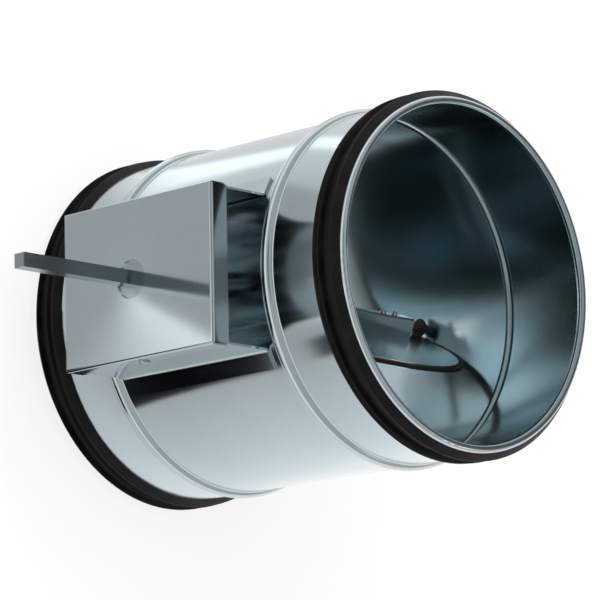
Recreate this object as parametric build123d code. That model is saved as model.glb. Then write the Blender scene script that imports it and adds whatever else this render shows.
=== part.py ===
from build123d import *
import math
import os

# Round duct shut-off damper with a square drive shaft and an actuator bracket.
# Millimetres and degrees. The duct runs along Z, the origin is on its axis at the lower rim,
# and the shaft leaves the casing towards -Y.

# Casing
duct_bore = 200.0
spigot_clearance = 0.7
casing_length = 247.5
casing_sheet = 0.8
bead_from_end = 58.0
bead_width = 8.0
bead_height = 3.2
bead_foot_radius = 1.6
rim_roll_radius = 2.45
rim_proud = 0.2
rim_flat = 0.1

# Duct seals, measured from the rim and out from the casing
seal_length = 23.5
lip_height = 4.15
first_lip_from_end = 6.8
second_lip_from_end = 15.0
third_lip_from_end = 19.2
lip_groove_height = 1.6
lip_valley_height = 2.7
lip_edge_radius = 0.7
rubber_gap = 0.05

# Shaft line
shaft_offset = -5.75
shaft_side = 8.0
shaft_reach = 81.3
shaft_end_chamfer = 0.4
rest_angle = 25.0

# Actuator bracket
bracket_from_lower_bead = 1.35
bracket_from_upper_bead = 3.55
bracket_width = 90.0
bracket_height = 34.3
bracket_sheet = 1.25
bend_radius = 0.8
sheet_gap = 0.05
cover_flange = 12.0
corner_relief = 0.3
foot_width = 12.0
foot_bend_radius = 2.2
shaft_hole_radius = 11.0

# Cover rivets
rivet_radius = 1.6
rivet_head_radius = 3.3
rivet_head_height = 1.6
rivet_head_round = 1.3
rivet_bulb_radius = 2.3
rivet_bulb_height = 2.2
rivet_setback = 9.5

# Bearings
running_gap = 0.08
fixed_gap = 0.03
thrust_gap = 0.4
collar_radius = 14.0
collar_length = 7.0
grub_screw_radius = 2.0
grub_screw_length = 8.0
grub_socket_size = 2.0
grub_socket_depth = 2.0
drive_bush_radius = 7.0
bush_flange_width = 4.5
bush_flange_height = 3.2
ring_section = 1.8
pivot_pin_radius = 2.5
pivot_pin_reach = 3.0
pin_to_screw = 1.65
far_bush_radius = 5.5
far_cap_height = 6.5
far_cap_round = 1.5
drive_washer_radius = 7.5
washer_to_rubber = 0.25
washer_thickness = 0.8

# Blade
blade_clearance = 0.5
blade_sheet = 0.75
rubber_thickness = 2.0
rubber_lip = 3.3
strip_sheet = 1.2
strip_from_bore = 11.1
strip_fit = 0.1
strip_bend_radius = 0.2
screw_radius = 2.0
screw_head_radius = 3.8
screw_head_height = 2.3
screw_head_round = 1.1
screw_tip_length = 2.2
screw_tip_radius = 1.0
screw_from_end = 12.7
screw_pitch = 9.7
screw_hole_gap = 0.05

# Places that follow from the sizes above
casing_radius = duct_bore / 2 - spigot_clearance
bore_radius = casing_radius - casing_sheet
roll_centre_radius = casing_radius + rim_proud - rim_roll_radius
roll_centre_height = rim_roll_radius - rim_flat
shaft_height = casing_length / 2 + shaft_offset
shaft_half = shaft_side / 2
face_y = -(casing_radius + bracket_height)
bracket_low = bead_from_end + bead_width / 2 + bracket_from_lower_bead
bracket_high = casing_length - bead_from_end - bead_width / 2 - bracket_from_upper_bead
bracket_length = bracket_high - bracket_low
bracket_middle = (bracket_low + bracket_high) / 2
saddle_length = bracket_length - 2 * (bracket_sheet + bend_radius + sheet_gap)
saddle_width = bracket_width - 2 * (bracket_sheet + sheet_gap)
web_y = face_y + bracket_sheet + sheet_gap
web_back_y = web_y + bracket_sheet
collar_y = web_back_y + thrust_gap
shaft_bore_radius = shaft_half + running_gap
drive_flange_y = -(casing_radius + bush_flange_height)
drive_washer_y = drive_flange_y - thrust_gap
shoulder_y = drive_washer_y - washer_thickness
blade_thickness = 2 * blade_sheet + rubber_thickness
sweep_radius = bore_radius - blade_clearance
rubber_radius = math.sqrt(sweep_radius ** 2 - (shaft_half + blade_thickness) ** 2)
blade_radius = rubber_radius - rubber_lip
strip_end = bore_radius - strip_from_bore
strip_inner = shaft_half + strip_fit
strip_outer = strip_inner + strip_sheet
pivot_pin_inset = screw_from_end - screw_radius - pin_to_screw
washer_radius = shaft_half + blade_sheet - washer_to_rubber
screw_places = [
    side * (strip_end - screw_from_end - step)
    for side in (-1, 1)
    for step in (0, screw_pitch)
]

os.makedirs("parts", exist_ok=True)


def across(radius, start, end):
    """Cylinder along Y about the shaft line, from y = start to y = end."""
    return Pos(0, (start + end) / 2, shaft_height) * Cylinder(radius, end - start, rotation=(90, 0, 0))


def square_bar(half, start, end):
    """Square bar along Y on the shaft line, from y = start to y = end."""
    return Pos(0, (start + end) / 2, shaft_height) * Box(2 * half, end - start, 2 * half)


def slab(x_span, y_span, z_span):
    """Box between two x, two y and two z values."""
    spans = (x_span, y_span, z_span)
    middle = [(low + high) / 2 for low, high in spans]
    size = [high - low for low, high in spans]
    return Pos(*middle) * Box(*size)


def upright_cylinder(radius):
    """Cylinder about the duct's axis, longer than the casing at both ends."""
    return Pos(0, 0, casing_length / 2) * Cylinder(radius, 2 * casing_length)


def turned(section):
    """Solid of revolution about the duct's axis of a face drawn as radius and height."""
    return revolve(Plane.XZ * section, axis=Axis.Z, revolution_arc=360)


def upside_down(shape):
    """The same shape at the other end of the casing."""
    return mirror(shape, about=Plane.XY.offset(casing_length / 2))


def with_blade(shape):
    """A shape drawn with the blade along the duct, turned to the blade's rest angle."""
    return Pos(0, 0, shaft_height) * Rot(0, rest_angle, 0) * Pos(0, 0, -shaft_height) * shape


def from_end(height):
    """Distance of a height from the nearer end of the casing."""
    return min(height, casing_length - height)


def bead_arc(radius, height, grow):
    """One bead's arc in the wall's section, on the outer side or grown to the inner one."""
    arc_radius = (bead_width ** 2 / 4 + bead_height ** 2) / (2 * bead_height)
    crest = casing_radius + bead_height
    drop = radius - (crest - arc_radius)
    half_chord = math.sqrt((arc_radius + grow) ** 2 - drop ** 2)
    start = (radius, height - half_chord)
    end = (radius, height + half_chord)
    return ThreePointArc(start, (crest + grow, height), end)


def wall_side(radius, grow):
    """One side of the wall's section, from the lower rim to the upper rim."""
    low = (radius, roll_centre_height)
    high = (radius, casing_length - roll_centre_height)
    lower_bead = bead_arc(radius, bead_from_end, grow)
    upper_bead = bead_arc(radius, casing_length - bead_from_end, grow)
    return [
        Line(low, lower_bead @ 0),
        lower_bead,
        Line(lower_bead @ 1, upper_bead @ 0),
        upper_bead,
        Line(upper_bead @ 1, high),
    ]


def wall_section():
    """The formed sheet of the casing, drawn as radius and height."""
    outer = wall_side(casing_radius, 0)
    inner = wall_side(bore_radius, -casing_sheet)
    ends = [Line(outer[0] @ 0, inner[0] @ 0), Line(outer[-1] @ 1, inner[-1] @ 1)]
    section = make_face(Curve() + outer + inner + ends)
    feet = [
        corner
        for corner in section.vertices()
        if abs(corner.X - casing_radius) < 0.01
        and abs(from_end(corner.Y) - bead_from_end) < bead_width
    ]
    return fillet(feet, bead_foot_radius)


def make_rim_roll():
    """The rolled edge at the lower end, with its small standing flat."""
    circle = Pos(roll_centre_radius, roll_centre_height) * Circle(rim_roll_radius)
    below = Pos(roll_centre_radius, -rim_roll_radius) * Rectangle(
        4 * rim_roll_radius, 2 * rim_roll_radius
    )
    return turned(circle - below)


def make_casing():
    """Tube with two beads, two rims rolled inwards and the bearing holes."""
    roll = make_rim_roll()
    outside = casing_radius + bead_height
    casing = turned(wall_section()) + roll + upside_down(roll)
    casing -= across(drive_bush_radius + fixed_gap, -outside, -bore_radius / 2)
    casing -= across(far_bush_radius + fixed_gap, bore_radius / 2, outside)
    return casing


def make_lower_seal():
    """Rubber ring with three lips, round the casing behind the lower rim."""
    crest = casing_radius + lip_height
    groove = casing_radius + lip_groove_height
    valley = casing_radius + lip_valley_height
    surface = casing_radius + rubber_gap
    outline = Polyline(
        (surface, roll_centre_height),
        (casing_radius + rim_proud, roll_centre_height + rubber_gap),
        (crest, first_lip_from_end - lip_edge_radius),
        (crest, first_lip_from_end),
        (groove, first_lip_from_end + lip_edge_radius),
        (groove, second_lip_from_end - lip_edge_radius),
        (crest, second_lip_from_end),
        (valley, second_lip_from_end + lip_edge_radius),
        (valley, third_lip_from_end - 2 * lip_edge_radius),
        (crest, third_lip_from_end),
        (surface, seal_length),
        close=True,
    )
    section = make_face(outline)
    third_crest = [
        corner
        for corner in section.vertices()
        if abs(corner.X - crest) < 0.01 and abs(corner.Y - third_lip_from_end) < 0.01
    ]
    section = fillet(third_crest, lip_edge_radius)
    roll = Pos(roll_centre_radius, roll_centre_height) * Circle(rim_roll_radius + rubber_gap)
    return turned(section - roll)


def foot_angle():
    """Angle from -Y at which the middle of a foot touches the casing."""
    reach = casing_radius + sheet_gap
    half = foot_width / 2
    leg = saddle_width / 2 - bracket_sheet
    return math.asin(leg / math.hypot(reach, half)) + math.atan2(half, reach)


def saddle_section():
    """The saddle's folded sheet, seen along the duct."""
    angle = foot_angle()
    leg = saddle_width / 2 - bracket_sheet
    reach = casing_radius + sheet_gap
    knee_y = (leg * math.sin(angle) - reach) / math.cos(angle)
    toe_x = leg + foot_width * math.cos(angle)
    toe_y = knee_y + foot_width * math.sin(angle)
    bends = [bend_radius, foot_bend_radius + bracket_sheet]
    points = [(toe_x, toe_y), (leg, knee_y), (leg, web_back_y)]
    mirrored = [(-x, y) for x, y in reversed(points)]
    line = FilletPolyline(*points, *mirrored, radius=bends[::-1] + bends)
    return make_face(offset(line, amount=bracket_sheet, side=Side.LEFT))


def rivet_cutters():
    """Holes for the cover rivets, through both sheets."""
    outside = bracket_width / 2 + rivet_head_height
    place = Pos(0, face_y + rivet_setback, shaft_height)
    return place * Cylinder(rivet_radius + fixed_gap, 2 * outside, rotation=(0, 90, 0))


def make_bracket_saddle():
    """Folded sheet: a web, two legs and two feet that lie on the casing."""
    bottom = bracket_middle - saddle_length / 2
    saddle = extrude(Plane.XY.offset(bottom) * saddle_section(), saddle_length)
    saddle -= across(shaft_hole_radius, web_y - 1, web_back_y + 1)
    return saddle - rivet_cutters()


def make_bracket_cover():
    """Pan with the actuator face, four short flanges and the round shaft hole."""
    half_width = bracket_width / 2
    rear = face_y + cover_flange
    outer = slab((-half_width, half_width), (face_y, rear), (bracket_low, bracket_high))
    outer = fillet(outer.faces().sort_by(Axis.Y)[0].edges(), bend_radius + bracket_sheet)
    inner = slab(
        (-half_width + bracket_sheet, half_width - bracket_sheet),
        (face_y + bracket_sheet, rear + bracket_sheet),
        (bracket_low + bracket_sheet, bracket_high - bracket_sheet),
    )
    inner = fillet(inner.faces().sort_by(Axis.Y)[0].edges(), bend_radius)
    cover = outer - inner
    relief_side = bracket_sheet + corner_relief
    for side in (-1, 1):
        edge = side * half_width
        span = sorted((edge + side, edge - side * bracket_sheet))
        for end, inward in ((bracket_low, 1), (bracket_high, -1)):
            heights = sorted((end - inward, end + inward * relief_side))
            cover -= slab(span, (face_y + bracket_sheet, rear + bracket_sheet), heights)
    cover -= across(shaft_hole_radius, face_y - 1, face_y + bracket_sheet + 1)
    return cover - rivet_cutters()


def make_cover_rivet(side):
    """Blind rivet in the middle of one long flange, head outwards."""
    sheets = 2 * bracket_sheet + sheet_gap
    head = Pos(0, 0, rivet_head_height / 2) * Cylinder(rivet_head_radius, rivet_head_height)
    head = fillet(head.edges().sort_by(Axis.Z)[-1], rivet_head_round)
    shank = Pos(0, 0, -sheets / 2) * Cylinder(rivet_radius, sheets)
    bulb = Pos(0, 0, -sheets - rivet_bulb_height / 2) * Cylinder(rivet_bulb_radius, rivet_bulb_height)
    bulb = fillet(bulb.edges().sort_by(Axis.Z)[0], rivet_bulb_radius / 2)
    place = Pos(side * bracket_width / 2, face_y + rivet_setback, shaft_height)
    return place * Rot(0, 90 * side, 0) * (head + shank + bulb)


def wall_bush(radius, side):
    """Bush body flush with the bore, and its flange lying on the casing."""
    flange_end = casing_radius + bush_flange_height
    inside = bore_radius / 2
    body_span = sorted((side * inside, side * flange_end))
    body = across(radius, *body_span) - upright_cylinder(bore_radius)
    flange = across(radius + bush_flange_width, *body_span)
    return body + (flange - upright_cylinder(casing_radius + sheet_gap))


def ring_place():
    """Middle of the sealing ring along the shaft, halfway through the drive bush."""
    return drive_flange_y + (bush_flange_height + casing_sheet) / 2


def make_drive_wall_bush():
    """Bearing of the drive side, with a groove for its sealing ring."""
    bush = wall_bush(drive_bush_radius, -1)
    bush -= across(shaft_bore_radius, 2 * drive_flange_y, 0)
    half = ring_section / 2 + fixed_gap
    groove_radius = shaft_bore_radius + ring_section + fixed_gap
    return bush - across(groove_radius, ring_place() - half, ring_place() + half)


def make_shaft_ring():
    """Rubber ring round the shaft, in the drive bush."""
    middle = shaft_bore_radius + ring_section / 2
    ring = Torus(middle, ring_section / 2)
    return Pos(0, ring_place(), shaft_height) * Rot(90, 0, 0) * ring


def make_far_wall_bush():
    """Closed bearing of the far side, with a cap over the pivot's end."""
    cap_end = casing_radius + far_cap_height
    cap = across(far_bush_radius, casing_radius, cap_end)
    cap = fillet(cap.edges().sort_by(Axis.Y)[-1], far_cap_round)
    bush = wall_bush(far_bush_radius, 1) + cap
    pin_end = casing_radius + pivot_pin_reach
    return bush - across(pivot_pin_radius + running_gap, 0, pin_end + thrust_gap)


def make_shaft_bush():
    """Round bush in the bracket's hole, with a collar behind it and a square bore."""
    rear = collar_y + collar_length
    bush = across(shaft_hole_radius - running_gap, web_y, rear)
    bush += across(collar_radius, collar_y, rear)
    bush -= square_bar(shaft_half + fixed_gap, face_y, 0)
    return bush - grub_screw_blank(fixed_gap, collar_radius)


def grub_screw_blank(gap, top):
    """Cylinder of the grub screw, grown by a gap, from the shaft up to a height above it."""
    low = shaft_half + fixed_gap
    place = Pos(0, collar_y + collar_length / 2, shaft_height + (low + top) / 2)
    return place * Cylinder(grub_screw_radius + gap, top - low)


def make_bush_grub_screw():
    """Socket screw that holds the bush on the shaft."""
    top = shaft_half + fixed_gap + grub_screw_length
    screw = grub_screw_blank(0, top)
    socket = RegularPolygon(grub_socket_size / 2, 6, major_radius=False)
    place = Pos(0, collar_y + collar_length / 2, shaft_height + top - grub_socket_depth)
    return screw - extrude(place * socket, 2 * grub_socket_depth)


def make_drive_shaft():
    """Square bar, turned round from its shoulder outside the casing to the blade's far end."""
    bar = square_bar(shaft_half, face_y - shaft_reach, shoulder_y)
    bar = chamfer(bar.faces().sort_by(Axis.Y)[0].edges(), shaft_end_chamfer)
    shaft = bar + across(shaft_half, shoulder_y, strip_end)
    shaft -= across(pivot_pin_radius + fixed_gap, strip_end - pivot_pin_inset, strip_end)
    return shaft - screw_cutters()


def make_far_pivot_pin():
    """Pin pressed into the shaft's far end, running in the far bush."""
    return across(pivot_pin_radius, strip_end - pivot_pin_inset, casing_radius + pivot_pin_reach)


def make_drive_thrust_washer():
    """Washer between the shaft's shoulder and the drive bush."""
    span = (shoulder_y, drive_washer_y)
    return across(drive_washer_radius, *span) - across(shaft_half + fixed_gap, *span)


def make_far_thrust_washer():
    """Washer on the pin, beside the far bearing."""
    span = (sweep_radius - washer_thickness, sweep_radius)
    return across(washer_radius, *span) - across(pivot_pin_radius + fixed_gap, *span)


def blade_disc(radius, start, thickness):
    """Disc of the blade, drawn along the duct, from x = start."""
    disc = Cylinder(radius, thickness, rotation=(0, 90, 0))
    disc = Pos(start + thickness / 2, 0, shaft_height) * disc
    return with_blade(disc) - screw_cutters()


def make_blade_front_sheet():
    """Disc that the shaft lies on."""
    return blade_disc(blade_radius, shaft_half, blade_sheet)


def make_blade_rubber():
    """Rubber disc held between the sheets, whose edge seals the bore."""
    return blade_disc(rubber_radius, shaft_half + blade_sheet, rubber_thickness)


def make_blade_back_sheet():
    """Disc on the side away from the shaft."""
    return blade_disc(blade_radius, shaft_half + blade_sheet + rubber_thickness, blade_sheet)


def make_clamp_strip():
    """Folded channel over the shaft, standing on the blade."""
    ends = (-strip_end, strip_end)
    span = (shaft_height - strip_outer, shaft_height + strip_outer)
    gap = (shaft_height - strip_inner, shaft_height + strip_inner)
    outer = slab((-strip_outer, shaft_half), ends, span)
    bends = outer.edges().filter_by(Axis.Y).group_by(Axis.X)[0]
    outer = fillet(bends, strip_bend_radius + strip_sheet)
    inner = slab((-strip_inner, shaft_half), ends, gap)
    bends = inner.edges().filter_by(Axis.Y).group_by(Axis.X)[0]
    inner = fillet(bends, strip_bend_radius)
    return with_blade(outer - inner) - screw_cutters()


def along_blade_normal(radius, start, end, place):
    """Cylinder square to the undriven blade, from x = start to x = end, at y = place."""
    cylinder = Cylinder(radius, end - start, rotation=(0, 90, 0))
    return Pos((start + end) / 2, place, shaft_height) * cylinder


def screw_cutters():
    """Holes of the strip screws, turned with the blade."""
    back = shaft_half + blade_thickness
    holes = [
        along_blade_normal(screw_radius + screw_hole_gap, -2 * strip_outer, 2 * back, place)
        for place in screw_places
    ]
    return with_blade(Part() + holes)


def make_strip_screw(place):
    """Screw from the blade's back through the shaft, its tip standing out of the strip."""
    back = shaft_half + blade_thickness
    head = along_blade_normal(screw_head_radius, back, back + screw_head_height, place)
    head = fillet(head.edges().sort_by(Axis.X)[-1], screw_head_round)
    shank = along_blade_normal(screw_radius, -strip_outer, back, place)
    tip = Cone(screw_radius, screw_tip_radius, screw_tip_length, rotation=(0, -90, 0))
    tip = Pos(-strip_outer - screw_tip_length / 2, place, shaft_height) * tip
    return with_blade(head + shank + tip)


def save(name, shapes):
    """Write one node's solids to its STEP file."""
    solids = [solid for shape in shapes for solid in shape.solids()]
    export_step(Compound(label=name, children=solids), f"parts/{name}.step")


lower_seal = make_lower_seal()

save("casing", [make_casing()])
save("lower_seal", [lower_seal])
save("upper_seal", [upside_down(lower_seal)])
save("bracket_saddle", [make_bracket_saddle()])
save("bracket_cover", [make_bracket_cover()])
save("cover_rivets", [make_cover_rivet(side) for side in (-1, 1)])
save("drive_wall_bush", [make_drive_wall_bush()])
save("shaft_ring", [make_shaft_ring()])
save("far_wall_bush", [make_far_wall_bush()])
save("shaft_bush", [make_shaft_bush()])
save("bush_grub_screw", [make_bush_grub_screw()])
save("drive_shaft", [make_drive_shaft()])
save("far_pivot_pin", [make_far_pivot_pin()])
save("drive_thrust_washer", [make_drive_thrust_washer()])
save("far_thrust_washer", [make_far_thrust_washer()])
save("blade_front_sheet", [make_blade_front_sheet()])
save("blade_rubber", [make_blade_rubber()])
save("blade_back_sheet", [make_blade_back_sheet()])
save("clamp_strip", [make_clamp_strip()])
save("strip_screws", [make_strip_screw(place) for place in screw_places])
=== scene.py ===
import logging
import math
from dataclasses import dataclass, field
from enum import Enum
from functools import cached_property

import bmesh
import bpy
from mathutils import Euler, Matrix, Quaternion, Vector


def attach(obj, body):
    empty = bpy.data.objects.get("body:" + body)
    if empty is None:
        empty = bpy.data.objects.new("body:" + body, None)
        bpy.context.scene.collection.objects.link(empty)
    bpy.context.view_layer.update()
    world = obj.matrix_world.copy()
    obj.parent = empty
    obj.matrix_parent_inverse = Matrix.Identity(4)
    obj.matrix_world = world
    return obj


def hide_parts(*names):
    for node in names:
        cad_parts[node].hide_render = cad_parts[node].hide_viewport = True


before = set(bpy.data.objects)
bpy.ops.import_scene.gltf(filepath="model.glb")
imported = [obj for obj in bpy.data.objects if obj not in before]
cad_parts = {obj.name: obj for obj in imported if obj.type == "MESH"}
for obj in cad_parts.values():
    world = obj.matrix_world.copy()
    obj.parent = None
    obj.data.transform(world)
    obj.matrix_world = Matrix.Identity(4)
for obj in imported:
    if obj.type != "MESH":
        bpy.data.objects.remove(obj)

log = logging.getLogger("damper")
Pair = tuple[float, float]
Colour = tuple[float, float, float]
Place = tuple[float, float, float]
Socket = bpy.types.NodeSocket
Material = bpy.types.Material
Piece = bpy.types.Object

MILLIMETRE = 0.001
MERGE_DISTANCE = 1e-6
WHOLE: Pair = (0.0, 1.0)
HALF = 0.5
WHITE: Colour = (1.0, 1.0, 1.0)

# The Mix node has sockets of one name for each kind of data, so those for colours go by number.
MIX_SHARE, MIX_FIRST, MIX_SECOND, MIX_RESULT = 0, 6, 7, 2


class Body(Enum):
    """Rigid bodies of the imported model."""

    CASING = "casing_body"
    BLADE = "blade_body"


class Slot(Enum):
    """Material slots of the record."""

    SHEET = "galvanised_steel"
    PLATED = "zinc_plated_steel"
    SEAL = "seal_rubber"
    BLADE_RUBBER = "blade_rubber"
    PLASTIC = "bearing_plastic"


class Step(Enum):
    """Steps of arithmetic that the Math node does."""

    ADD = "ADD"
    SUBTRACT = "SUBTRACT"
    MULTIPLY = "MULTIPLY"
    POWER = "POWER"
    ABSOLUTE = "ABSOLUTE"
    MAXIMUM = "MAXIMUM"
    ANGLE = "ARCTAN2"


class Way(Enum):
    """How a value goes from one range to another."""

    STRAIGHT = "LINEAR"
    SOFT = "SMOOTHSTEP"


class Graph:
    """Node tree of a material or of the world, with a short call for each kind of node in use."""

    def __init__(self, owner: Material | bpy.types.World, output: str) -> None:
        """Empty the owner's node tree and give it an output.

        Args:
            owner: The material or the world.
            output: Kind of the output node.
        """
        owner.use_nodes = True
        self.owner = owner
        self.tree = owner.node_tree
        self.tree.nodes.clear()
        self.output = self.add(output)

    @classmethod
    def of_material(cls, name: str) -> "Graph":
        """Start an empty material.

        Args:
            name: The material's name.

        Returns:
            The material's graph.
        """
        return cls(bpy.data.materials.new(name), "ShaderNodeOutputMaterial")

    @cached_property
    def place(self) -> Socket:
        """The piece's own coordinates, in metres."""
        return self.add("ShaderNodeTexCoord").outputs["Object"]

    def add(self, kind: str) -> bpy.types.Node:
        """Make a node of a kind."""
        return self.tree.nodes.new(kind)

    def feed(self, target: Socket, value: Socket | float | Colour) -> None:
        """Link a socket, or write a constant, into an input.

        Args:
            target: The input to fill.
            value: An output to link, a number or a colour.
        """
        if isinstance(value, bpy.types.NodeSocket):
            self.tree.links.new(value, target)
        elif isinstance(value, tuple) and target.type == "RGBA":
            target.default_value = (*value, 1.0)
        else:
            target.default_value = value

    def noise(self, scale: float, detail: float, place: Socket | None = None) -> Socket:
        """Soft noise from 0 to 1.

        Args:
            scale: Features to a metre.
            detail: Octaves of finer noise.
            place: Coordinates to use instead of the piece's own.

        Returns:
            The noise value.
        """
        node = self.add("ShaderNodeTexNoise")
        self.feed(node.inputs["Vector"], place or self.place)
        self.feed(node.inputs["Scale"], scale)
        self.feed(node.inputs["Detail"], detail)
        return node.outputs["Fac"]

    def cells(self, scale: float) -> Socket:
        """One random value from 0 to 1 for each crystal-like cell.

        Args:
            scale: Cells to a metre.

        Returns:
            The cell's value.
        """
        node = self.add("ShaderNodeTexVoronoi")
        self.feed(node.inputs["Vector"], self.place)
        self.feed(node.inputs["Scale"], scale)
        parts = self.add("ShaderNodeSeparateColor")
        self.feed(parts.inputs["Color"], node.outputs["Color"])
        return parts.outputs["Red"]

    def stretched(self, factors: Place) -> Socket:
        """The piece's coordinates, stretched along its axes.

        Args:
            factors: Scale along X, Y and Z.

        Returns:
            The scaled coordinates.
        """
        node = self.add("ShaderNodeMapping")
        self.feed(node.inputs["Vector"], self.place)
        self.feed(node.inputs["Scale"], factors)
        return node.outputs["Vector"]

    def apart(self, vector: Socket) -> tuple[Socket, Socket]:
        """The X and Y of a vector.

        Args:
            vector: The vector to take apart.

        Returns:
            Its X and its Y.
        """
        node = self.add("ShaderNodeSeparateXYZ")
        self.feed(node.inputs[0], vector)
        return node.outputs["X"], node.outputs["Y"]

    def reckon(self, step: Step, first: Socket | float, second: Socket | float) -> Socket:
        """One arithmetic step.

        Args:
            step: What to do with the values.
            first: The first value.
            second: The second value.

        Returns:
            The result.
        """
        node = self.add("ShaderNodeMath")
        node.operation = step.value
        self.feed(node.inputs[0], first)
        self.feed(node.inputs[1], second)
        return node.outputs[0]

    def raised(self, base: Socket | float, value: Socket, gain: float) -> Socket:
        """A base value with a share of another value on top.

        Args:
            base: The base value.
            value: The value that is added.
            gain: Its share.

        Returns:
            The raised value.
        """
        return self.reckon(Step.ADD, base, self.reckon(Step.MULTIPLY, value, gain))

    def spread(self, value: Socket, source: Pair, target: Pair = WHOLE, way: Way = Way.SOFT) -> Socket:
        """A value carried from one range to another, held at the ends.

        Args:
            value: The value to carry over.
            source: Its low and high ends.
            target: What they become.
            way: How it goes from one end to the other.

        Returns:
            The new value.
        """
        node = self.add("ShaderNodeMapRange")
        node.interpolation_type = way.value
        self.feed(node.inputs["Value"], value)
        for name, number in zip(("From Min", "From Max", "To Min", "To Max"), (*source, *target)):
            self.feed(node.inputs[name], number)
        return node.outputs["Result"]

    def blend(self, share: Socket, first: Socket | Colour, second: Socket | Colour) -> Socket:
        """A colour between two colours.

        Args:
            share: 0 for the first colour and 1 for the second.
            first: The first colour.
            second: The second colour.

        Returns:
            The mixed colour.
        """
        node = self.add("ShaderNodeMix")
        node.data_type = "RGBA"
        self.feed(node.inputs[MIX_SHARE], share)
        self.feed(node.inputs[MIX_FIRST], first)
        self.feed(node.inputs[MIX_SECOND], second)
        return node.outputs[MIX_RESULT]

    def outwards(self) -> Socket:
        """How far a face lies out from the duct's axis, negative if the face looks at the axis."""
        node = self.add("ShaderNodeVectorMath")
        node.operation = "DOT_PRODUCT"
        self.feed(node.inputs[0], self.stretched((1.0, 1.0, 0.0)))
        self.feed(node.inputs[1], self.add("ShaderNodeTexCoord").outputs["Normal"])
        return node.outputs["Value"]

    def seen(self) -> Socket:
        """1 for what the camera sees, straight or in metal and glass, and 0 for plain light."""
        path = self.add("ShaderNodeLightPath").outputs
        mirrored = self.reckon(Step.MAXIMUM, path["Is Glossy Ray"], path["Is Transmission Ray"])
        return self.reckon(Step.MAXIMUM, path["Is Camera Ray"], mirrored)

    def bump(self, height: Socket, distance: float) -> Socket:
        """A normal tilted by a height.

        Args:
            height: The height, from 0 to 1.
            distance: What 1 stands for, in metres.

        Returns:
            The tilted normal.
        """
        node = self.add("ShaderNodeBump")
        self.feed(node.inputs["Height"], height)
        self.feed(node.inputs["Distance"], distance)
        self.feed(node.inputs["Strength"], 1.0)
        return node.outputs["Normal"]

    def surface(self, **inputs: Socket | float | Colour) -> Material:
        """Finish a material with one principled shader.

        Args:
            inputs: Shader inputs, with underscores for the spaces in their names.

        Returns:
            The material.
        """
        shader = self.add("ShaderNodeBsdfPrincipled")
        for name, value in inputs.items():
            self.feed(shader.inputs[name.replace("_", " ")], value)
        self.feed(self.output.inputs["Surface"], shader.outputs[0])
        return self.owner


@dataclass(frozen=True)
class SheetSteel:
    """Zinc-coated sheet: bright, faintly cloudy, with a hardly visible crystal pattern, and painted shade
    on the faces that look at the duct's axis.
    """

    name: str = "zinc_coated_sheet"
    light: Colour = (0.585, 0.665, 0.7)
    dark: Colour = (0.535, 0.62, 0.66)
    # Darker colours for faces that look at the duct's axis: painted shade for the dim bore.
    inside_painted_shade_light: Colour = (0.395, 0.49, 0.52)
    inside_painted_shade_dark: Colour = (0.345, 0.445, 0.475)
    inside_edge: float = 25 * MILLIMETRE
    roughness: float = 0.13
    inside_roughness: float = 0.15
    tone_haze: float = 0.03
    cloud_scale: float = 14.0
    cloud_detail: float = 4.0
    cloud_range: Pair = (0.3, 0.7)
    crystal_scale: float = 160.0
    crystal_share: float = 0.18
    grain_scale: float = 1400.0
    grain_detail: float = 3.0
    grain_share: float = 0.008
    wave_depth: float = 0.03 * MILLIMETRE

    def material(self) -> Material:
        """Build the node material."""
        graph = Graph.of_material(self.name)
        clouds = graph.spread(graph.noise(self.cloud_scale, self.cloud_detail), self.cloud_range)
        cloud_part = graph.reckon(Step.MULTIPLY, clouds, 1 - self.crystal_share)
        tone = graph.raised(cloud_part, graph.cells(self.crystal_scale), self.crystal_share)
        outside = graph.blend(tone, self.dark, self.light)
        # Painted shade: faces that look at the axis take the darker colours in place of the dim light
        # inside the tube.
        inside_painted_shade = graph.blend(tone, self.inside_painted_shade_dark, self.inside_painted_shade_light)
        facing = graph.spread(graph.outwards(), (-self.inside_edge, self.inside_edge))
        sides = (self.inside_roughness, self.roughness)
        haze = graph.spread(facing, WHOLE, sides, Way.STRAIGHT)
        grain = graph.noise(self.grain_scale, self.grain_detail)
        height = graph.raised(clouds, grain, self.grain_share)
        return graph.surface(
            # Outward faces take the sheet's own colour, and inward faces take the painted shade.
            Base_Color=graph.blend(facing, inside_painted_shade, outside),
            Metallic=1.0,
            Roughness=graph.raised(haze, tone, self.tone_haze),
            Normal=graph.bump(height, self.wave_depth),
        )


@dataclass(frozen=True)
class PlatedSteel:
    """Plated bar and fasteners: satin, with fine drawing marks along the bar."""

    name: str = "zinc_plating"
    light: Colour = (0.41, 0.475, 0.505)
    dark: Colour = (0.37, 0.435, 0.465)
    roughness: float = 0.14
    mark_haze: float = 0.1
    cloud_scale: float = 60.0
    cloud_detail: float = 3.0
    tone_range: Pair = (0.3, 0.7)
    mark_scale: float = 900.0
    mark_detail: float = 2.0
    mark_stretch: Place = (1.0, 0.04, 1.0)
    mark_depth: float = 0.003 * MILLIMETRE

    def material(self) -> Material:
        """Build the node material."""
        graph = Graph.of_material(self.name)
        clouds = graph.noise(self.cloud_scale, self.cloud_detail)
        marks = graph.noise(self.mark_scale, self.mark_detail, graph.stretched(self.mark_stretch))
        tone = graph.reckon(Step.MULTIPLY, graph.reckon(Step.ADD, clouds, marks), HALF)
        return graph.surface(
            Base_Color=graph.blend(graph.spread(tone, self.tone_range), self.dark, self.light),
            Metallic=1.0,
            Roughness=graph.raised(self.roughness, marks, self.mark_haze),
            Normal=graph.bump(marks, self.mark_depth),
        )


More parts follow.
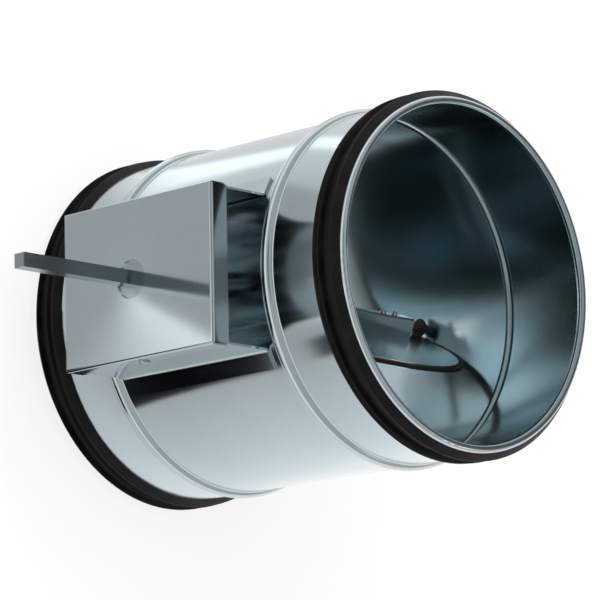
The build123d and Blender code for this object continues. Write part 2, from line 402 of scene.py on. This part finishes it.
@dataclass(frozen=True)
class MouldedRubber:
    """Black seal rubber with a soft sheen and fine powdery marks."""

    name: str = "seal_rubber_finish"
    dark: Colour = (0.003, 0.0026, 0.0026)
    light: Colour = (0.008, 0.007, 0.007)
    roughness: float = 0.42
    cloud_haze: float = 0.12
    sheen: float = 0.18
    cloud_scale: float = 70.0
    cloud_detail: float = 5.0
    cloud_range: Pair = (0.35, 0.7)
    grain_scale: float = 2600.0
    grain_detail: float = 2.0
    grain_depth: float = 0.02 * MILLIMETRE

    def material(self) -> Material:
        """Build the node material."""
        graph = Graph.of_material(self.name)
        clouds = graph.spread(graph.noise(self.cloud_scale, self.cloud_detail), self.cloud_range)
        grain = graph.noise(self.grain_scale, self.grain_detail)
        return graph.surface(
            Base_Color=graph.blend(clouds, self.dark, self.light),
            Roughness=graph.raised(self.roughness, clouds, self.cloud_haze),
            Specular_IOR_Level=self.sheen,
            Normal=graph.bump(grain, self.grain_depth),
        )


@dataclass(frozen=True)
class MouldedPlastic:
    """Dark bearing plastic with a fine spark-eroded grain."""

    name: str = "bearing_plastic_finish"
    dark: Colour = (0.02, 0.021, 0.023)
    light: Colour = (0.034, 0.036, 0.038)
    roughness: float = 0.5
    cloud_haze: float = 0.1
    cloud_scale: float = 240.0
    grain_scale: float = 3200.0
    detail: float = 2.0
    grain_depth: float = 0.03 * MILLIMETRE

    def material(self) -> Material:
        """Build the node material."""
        graph = Graph.of_material(self.name)
        clouds = graph.noise(self.cloud_scale, self.detail)
        grain = graph.noise(self.grain_scale, self.detail)
        return graph.surface(
            Base_Color=graph.blend(clouds, self.dark, self.light),
            Roughness=graph.raised(self.roughness, clouds, self.cloud_haze),
            Normal=graph.bump(grain, self.grain_depth),
        )


@dataclass(frozen=True)
class FloorPaint:
    """Plain white floor that stays white to the camera and to metal, and still takes a shadow."""

    name: str = "white_floor"
    colour: Colour = (0.86, 0.86, 0.86)
    seen_colour: Colour = (0.22, 0.22, 0.22)
    glow: float = 0.8

    def material(self) -> Material:
        """Build the node material."""
        graph = Graph.of_material(self.name)
        seen = graph.seen()
        paint = graph.add("ShaderNodeBsdfDiffuse")
        graph.feed(paint.inputs["Color"], graph.blend(seen, self.colour, self.seen_colour))
        light = graph.add("ShaderNodeEmission")
        graph.feed(light.inputs["Strength"], graph.reckon(Step.MULTIPLY, seen, self.glow))
        both = graph.add("ShaderNodeAddShader")
        graph.feed(both.inputs[0], paint.outputs[0])
        graph.feed(both.inputs[1], light.outputs[0])
        graph.feed(graph.output.inputs["Surface"], both.outputs[0])
        return graph.owner


@dataclass
class Wardrobe:
    """The finishes, each made once."""

    sheet: Material = field(default_factory=lambda: SheetSteel().material())
    folded: Material = field(default_factory=lambda: SheetSteel(
        name="folded_sheet",
        roughness=0.1,
        inside_roughness=0.1,
        # No painted shade here: the bracket's inner faces keep the sheet's own colours.
        inside_painted_shade_light=SheetSteel.light,
        inside_painted_shade_dark=SheetSteel.dark,
    ).material())
    plated: Material = field(default_factory=lambda: PlatedSteel().material())
    turned: Material = field(default_factory=lambda: PlatedSteel(
        name="turned_plating",
        light=(0.49, 0.555, 0.585),
        dark=(0.46, 0.525, 0.555),
        roughness=0.08,
        mark_depth=0.001 * MILLIMETRE,
    ).material())
    seal: Material = field(default_factory=lambda: MouldedRubber().material())
    plastic: Material = field(default_factory=lambda: MouldedPlastic().material())


def show(name: str, shape: bmesh.types.BMesh, finish: Material) -> Piece:
    """Make a scene object of a shape, and free the shape.

    Args:
        name: The object's name, and its mesh's.
        shape: The shape, in its place.
        finish: The material.

    Returns:
        The object.
    """
    mesh = bpy.data.meshes.new(name)
    shape.to_mesh(mesh)
    shape.free()
    mesh.materials.append(finish)
    piece = bpy.data.objects.new(name, mesh)
    bpy.context.scene.collection.objects.link(piece)
    return piece


@dataclass
class SubAssembly:
    """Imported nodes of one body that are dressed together."""

    wardrobe: Wardrobe
    body: Body = Body.CASING
    sharp_angle: float = 32.0

    def dress(self, node: str, slot: Slot, finish: Material, sharp_angle: float | None = None) -> Piece:
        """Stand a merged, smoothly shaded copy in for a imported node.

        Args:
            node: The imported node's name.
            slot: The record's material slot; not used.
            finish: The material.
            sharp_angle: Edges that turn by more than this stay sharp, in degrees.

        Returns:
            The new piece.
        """
        limit = math.radians(sharp_angle or self.sharp_angle)
        shape = bmesh.new()
        shape.from_mesh(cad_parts[node].data)
        bmesh.ops.remove_doubles(shape, verts=shape.verts, dist=MERGE_DISTANCE)
        for face in shape.faces:
            face.smooth = True
            face.material_index = 0
        for edge in shape.edges:
            if edge.is_manifold:
                edge.smooth = edge.calc_face_angle() < limit
        piece = show(f"{node}_skin", shape, finish)
        for name in ("custom_normal", "sharp_face"):
            if name in piece.data.attributes:
                piece.data.attributes.remove(piece.data.attributes[name])
        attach(piece, self.body.value)
        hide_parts(node)
        log.info("%s stands for %s, %d faces", piece.name, node, len(piece.data.polygons))
        return piece


@dataclass
class TubeBody(SubAssembly):
    """The tube with its rolled rims and beads, and the two wall bearings."""

    roll_angle: float = 42.0

    def build(self) -> None:
        """Dress the tube and its bearings."""
        self.dress("casing", Slot.SHEET, self.wardrobe.sheet, self.roll_angle)
        for node in ("drive_wall_bush", "far_wall_bush"):
            self.dress(node, Slot.PLASTIC, self.wardrobe.plastic)
        self.dress("shaft_ring", Slot.SEAL, self.wardrobe.seal)


@dataclass
class DuctSeals(SubAssembly):
    """The two rubber rings behind the rims."""

    lip_angle: float = 20.0

    def build(self) -> None:
        """Dress both rings."""
        for node in ("lower_seal", "upper_seal"):
            self.dress(node, Slot.SEAL, self.wardrobe.seal, self.lip_angle)


@dataclass
class ActuatorBracket(SubAssembly):
    """The folded saddle, the cover plate and their rivets."""

    fold_angle: float = 24.0

    def build(self) -> None:
        """Dress the bracket's sheets and rivets."""
        for node in ("bracket_saddle", "bracket_cover"):
            self.dress(node, Slot.SHEET, self.wardrobe.folded, self.fold_angle)
        self.dress("cover_rivets", Slot.PLATED, self.wardrobe.plated)


@dataclass
class TurningBlade(SubAssembly):
    """The shaft, its bush and the sandwiched disc with its clamp strip."""

    body: Body = Body.BLADE

    def build(self) -> None:
        """Dress everything that turns."""
        for node in ("drive_shaft", "bush_grub_screw", "strip_screws"):
            self.dress(node, Slot.PLATED, self.wardrobe.plated)
        self.dress("shaft_bush", Slot.PLATED, self.wardrobe.turned)
        for node in ("blade_front_sheet", "blade_back_sheet", "clamp_strip"):
            self.dress(node, Slot.SHEET, self.wardrobe.sheet)
        self.dress("blade_rubber", Slot.BLADE_RUBBER, self.wardrobe.seal)
        for node in ("far_pivot_pin", "drive_thrust_washer", "far_thrust_washer"):
            self.dress(node, Slot.PLASTIC, self.wardrobe.plastic)


@dataclass
class StudioCard:
    """A flat card of one tone that only shiny surfaces see, and that fades out at its edges."""

    name: str
    place: Place
    half_size: Pair
    tone: float
    fade: float
    turn_degrees: Place = (0.0, 0.0, 0.0)
    is_round: bool = False

    @property
    def turn(self) -> Place:
        """The card's turn about X, Y and Z, in radians."""
        return tuple(math.radians(angle) for angle in self.turn_degrees)

    def shade(self, graph: Graph) -> Socket | float:
        """Tone of the card's paper, the same all over a plain card."""
        return self.tone

    def distance_out(self, graph: Graph) -> Socket:
        """How far out a point lies, from 0 at the card's middle to 1 at its edge.

        Args:
            graph: The node tree of the card's material.

        Returns:
            The share of the way out.
        """
        local = graph.add("ShaderNodeMapping")
        local.vector_type = "TEXTURE"
        graph.feed(local.inputs["Vector"], graph.place)
        graph.feed(local.inputs["Location"], self.place)
        graph.feed(local.inputs["Rotation"], self.turn)
        graph.feed(local.inputs["Scale"], (*self.half_size, 1.0))
        across, along = (graph.reckon(Step.ABSOLUTE, side, 0.0) for side in graph.apart(local.outputs[0]))
        if not self.is_round:
            return graph.reckon(Step.MAXIMUM, across, along)
        squares = [graph.reckon(Step.POWER, side, 2.0) for side in (across, along)]
        return graph.reckon(Step.POWER, graph.reckon(Step.ADD, *squares), HALF)

    def paper(self) -> Material:
        """Build the card's node material."""
        graph = Graph.of_material(f"{self.name}_paper")
        share = graph.spread(self.distance_out(graph), (1.0 - self.fade, 1.0), (1.0, 0.0))
        tone = graph.add("ShaderNodeEmission")
        graph.feed(tone.inputs["Strength"], self.shade(graph))
        clear = graph.add("ShaderNodeBsdfTransparent")
        mixed = graph.add("ShaderNodeMixShader")
        graph.feed(mixed.inputs[0], share)
        graph.feed(mixed.inputs[1], clear.outputs[0])
        graph.feed(mixed.inputs[2], tone.outputs[0])
        graph.feed(graph.output.inputs["Surface"], mixed.outputs[0])
        return graph.owner

    def build(self) -> Piece:
        """Make the card."""
        shape = bmesh.new()
        bmesh.ops.create_grid(shape, x_segments=1, y_segments=1, size=1.0)
        stand = Matrix.LocRotScale(Vector(self.place), Euler(self.turn), Vector((*self.half_size, 1.0)))
        bmesh.ops.transform(shape, matrix=stand, verts=shape.verts)
        piece = show(self.name, shape, self.paper())
        piece.visible_camera = False
        piece.visible_diffuse = False
        piece.visible_shadow = False
        log.info("card %s", self.name)
        return piece


@dataclass(frozen=True)
class Rise:
    """A change of tone that comes in between two angles, in degrees."""

    start: float
    end: float
    gain: float


@dataclass
class FanCard(StudioCard):
    """A card whose tone changes with the angle about a point on it."""

    tip: Pair = (0.0, 0.0)
    rises: tuple[Rise, ...] = ()

    def shade(self, graph: Graph) -> Socket | float:
        """Tone of the card's paper.

        Args:
            graph: The node tree of the card's material.

        Returns:
            The plain tone with each rise added.
        """
        x, y = graph.apart(graph.place)
        across = graph.reckon(Step.SUBTRACT, x, self.tip[0])
        along = graph.reckon(Step.SUBTRACT, y, self.tip[1])
        angle = graph.reckon(Step.ANGLE, along, across)
        tone = self.tone
        for rise in self.rises:
            span = (math.radians(rise.start), math.radians(rise.end))
            change = graph.spread(angle, span, (0.0, rise.gain), Way.STRAIGHT)
            tone = graph.reckon(Step.ADD, change, tone)
        return tone


@dataclass
class SoftLamp:
    """A rectangular soft lamp that points at a place, and that nothing mirrors."""

    name: str
    place: Place
    aim: Place
    size: Pair
    power: float

    def build(self) -> Piece:
        """Make the lamp."""
        data = bpy.data.lights.new(self.name, "AREA")
        data.shape = "RECTANGLE"
        data.size, data.size_y = self.size
        data.energy = self.power
        lamp = bpy.data.objects.new(self.name, data)
        lamp.location = self.place
        lamp.rotation_mode = "QUATERNION"
        direction = Vector(self.aim) - Vector(self.place)
        lamp.rotation_quaternion = direction.to_track_quat("-Z", "Y")
        lamp.visible_camera = False
        lamp.visible_glossy = False
        bpy.context.scene.collection.objects.link(lamp)
        log.info("lamp %s", self.name)
        return lamp


@dataclass
class Studio:
    """White floor, pale surroundings, mirrored cards, one soft lamp and the camera."""

    floor_radius: float = 9.0
    floor_sides: int = 96
    sky: float = 0.75
    seen_sky: float = 1.0
    card_step: float = 0.5 * MILLIMETRE
    camera_place: Place = (0.42853, -1.58962, 1.67956)
    camera_turn: tuple[float, float, float, float] = (0.630149, 0.336856, -0.205958, 0.668597)
    sensor_width: float = 36.0
    lens: float = 237.99
    nearest: float = 0.05
    farthest: float = 60.0

    def floor(self) -> None:
        """Lay the floor under the lower rim."""
        shape = bmesh.new()
        bmesh.ops.create_circle(
            shape, cap_ends=True, segments=self.floor_sides, radius=self.floor_radius
        )
        piece = show("floor", shape, FloorPaint().material())
        log.info("floor")

    def surroundings(self) -> None:
        """Pale, even surroundings that are white to the camera and in metal."""
        world = bpy.data.worlds.new("surroundings")
        bpy.context.scene.world = world
        graph = Graph(world, "ShaderNodeOutputWorld")
        level = graph.spread(graph.seen(), WHOLE, (self.sky, self.seen_sky), Way.STRAIGHT)
        background = graph.add("ShaderNodeBackground")
        graph.feed(background.inputs["Strength"], level)
        graph.feed(background.inputs["Color"], WHITE)
        graph.feed(graph.output.inputs["Surface"], background.outputs[0])
        log.info("surroundings")

    def camera(self) -> None:
        """Set the camera at the photograph's viewing angle."""
        data = bpy.data.cameras.new("camera")
        data.sensor_width = self.sensor_width
        data.lens = self.lens
        data.clip_start = self.nearest
        data.clip_end = self.farthest
        camera = bpy.data.objects.new("camera", data)
        camera.rotation_mode = "QUATERNION"
        camera.location = self.camera_place
        camera.rotation_quaternion = Quaternion(self.camera_turn)
        bpy.context.scene.collection.objects.link(camera)
        bpy.context.scene.camera = camera
        log.info("camera")

    def floor_cards(self) -> tuple[StudioCard, ...]:
        """Cards on the floor around the casing, which its wall and the bracket mirror.

        Their heights differ, so that a higher card covers a lower one.

        Returns:
            The cards.
        """
        step = self.card_step
        return (
            FanCard("surround_card", (0.0, 0.0, step), (0.7, 0.7), tone=0.82, fade=0.2, is_round=True,
                    rises=(Rise(-160.0, -118.0, -0.32), Rise(-58.0, 40.0, 0.6), Rise(60.0, 150.0, -0.28))),
            FanCard("front_card", (-0.17, -0.37, 2 * step), (0.3, 0.22), tone=0.49, fade=0.12,
                    tip=(-0.025, -0.237), rises=(Rise(-75.0, -71.5, 0.68), Rise(-71.5, 48.0, -0.68))),
            FanCard("ring_card", (0.0, 0.0, 1.5 * step), (0.17, 0.17), tone=0.66, fade=0.3, is_round=True,
                    rises=(Rise(-60.0, 0.0, 0.32),)),
            StudioCard("glint_card", (-0.245, -0.006, 3 * step), (0.17, 0.036), tone=1.5, fade=0.55,
                       turn_degrees=(0.0, 0.0, -20.4)),
            StudioCard("foot_card", (0.1316, -0.1739, 5 * step), (0.0725, 0.03), tone=0.0, fade=0.06,
                       turn_degrees=(0.0, 0.0, -46.2)),
            StudioCard("gap_card", (0.05, -0.155, 4 * step), (0.03, 0.025), tone=0.0, fade=0.6),
        )

    def bore_cards(self) -> tuple[StudioCard, ...]:
        """Cards on the floor inside the casing, which its bore and the blade mirror.

        Returns:
            The cards.
        """
        step = self.card_step
        return (
            StudioCard("bore_light_card", (0.0, 0.0, 3 * step), (0.095, 0.095), tone=1.0, fade=0.05,
                       is_round=True),
            StudioCard("bore_glow_card", (-0.058, -0.034, 3.5 * step), (0.036, 0.036), tone=2.1, fade=0.7,
                       is_round=True),
            StudioCard("bore_dark_card", (0.03, -0.02, 4 * step), (0.076, 0.076), tone=0.0, fade=0.45,
                       is_round=True),
        )

    def high_cards(self) -> tuple[StudioCard, ...]:
        """Cards overhead, which the rims, the beads and everything that faces up mirror.

        Returns:
            The cards.
        """
        return (
            StudioCard("shaft_glow_card", (1.25, 1.65, 1.9), (0.8, 0.8), tone=1.3, fade=0.4, is_round=True),
            StudioCard("ceiling_card", (0.0, 0.0, 1.95), (8.0, 8.0), tone=0.5, fade=0.25),
            StudioCard("front_flag", (-0.35, -1.5, 1.6), (0.55, 0.45), tone=0.22, fade=0.4,
                       turn_degrees=(45.0, 0.0, -15.0)),
            StudioCard("back_flag", (-0.4, 1.4, 1.5), (0.9, 0.8), tone=0.14, fade=0.4,
                       turn_degrees=(-46.0, 0.0, 15.0)),
        )

    def build(self) -> None:
        """Set up the whole studio."""
        self.floor()
        self.surroundings()
        for card in (*self.floor_cards(), *self.bore_cards(), *self.high_cards()):
            card.build()
        self.camera()
        lamp = SoftLamp(
            name="top_softbox",
            place=(-0.6, -0.4, 1.6),
            aim=(0.0, 0.0, 0.1),
            size=(1.2, 1.2),
            power=12.0,
        )
        lamp.build()
        bpy.context.scene.view_settings.view_transform = "Standard"


def main() -> None:
    """Dress the damper and set up the studio."""
    logging.basicConfig(level=logging.INFO, format="%(message)s")
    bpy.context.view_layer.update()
    wardrobe = Wardrobe()
    for part in (TubeBody, DuctSeals, ActuatorBracket, TurningBlade):
        part(wardrobe).build()
    Studio().build()


if __name__ == "__main__":
    main()
